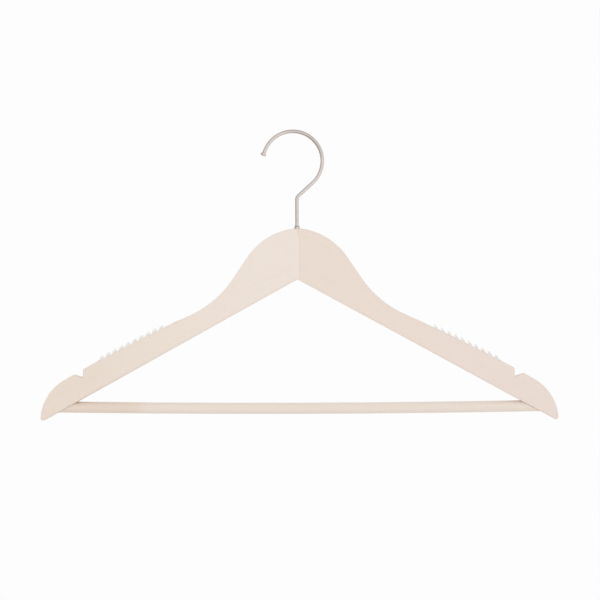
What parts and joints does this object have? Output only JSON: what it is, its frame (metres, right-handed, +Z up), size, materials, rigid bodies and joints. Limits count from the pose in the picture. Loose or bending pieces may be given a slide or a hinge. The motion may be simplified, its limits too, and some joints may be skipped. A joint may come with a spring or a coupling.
{
  "type": "clothes hanger with trouser bar",
  "caption": "Wooden clothes hanger with a round trouser bar, strap notches, finned anti-slip shoulder strips and a swivelling wire hook.",
  "frame": {"origin": "where a rail bears inside the hook, straight above the stem, on the swivel axis and in the middle of the thickness", "axes": "+X along the shoulders, to the right seen from the front; +Y through the thickness, away from the viewer; +Z up along the hook's stem"},
  "size_m": [0.4442, 0.012, 0.2495],
  "materials": {
    "left_wood": "pale close-grained wood, smooth, matt lacquer",
    "right_wood": "pale close-grained wood, a shade pinker, smooth, matt lacquer",
    "bar_wood": "turned pale wood, matt lacquer",
    "clear_strip": "soft translucent plastic, slightly grey",
    "hook_metal": "satin nickel plate on steel wire",
    "cap_metal": "satin nickel plate",
    "sleeve_metal": "satin nickel plate on thin steel"
  },
  "bodies": {
    "hook": {"hook_wire": "hook_metal", "hook_tip_cap": "cap_metal"},
    "hanger": {"left_arm": "left_wood", "right_arm": "right_wood", "trouser_bar": "bar_wood", "left_grip_strip": "clear_strip", "right_grip_strip": "clear_strip", "hook_sleeve": "sleeve_metal"}
  },
  "joints": [
    {"name": "hook_swivel", "type": "hinge", "parent": "hook", "child": "hanger", "pos_m": [0, 0, -0.0823], "axis": [0, 0, 1], "continuous": true}
  ]
}
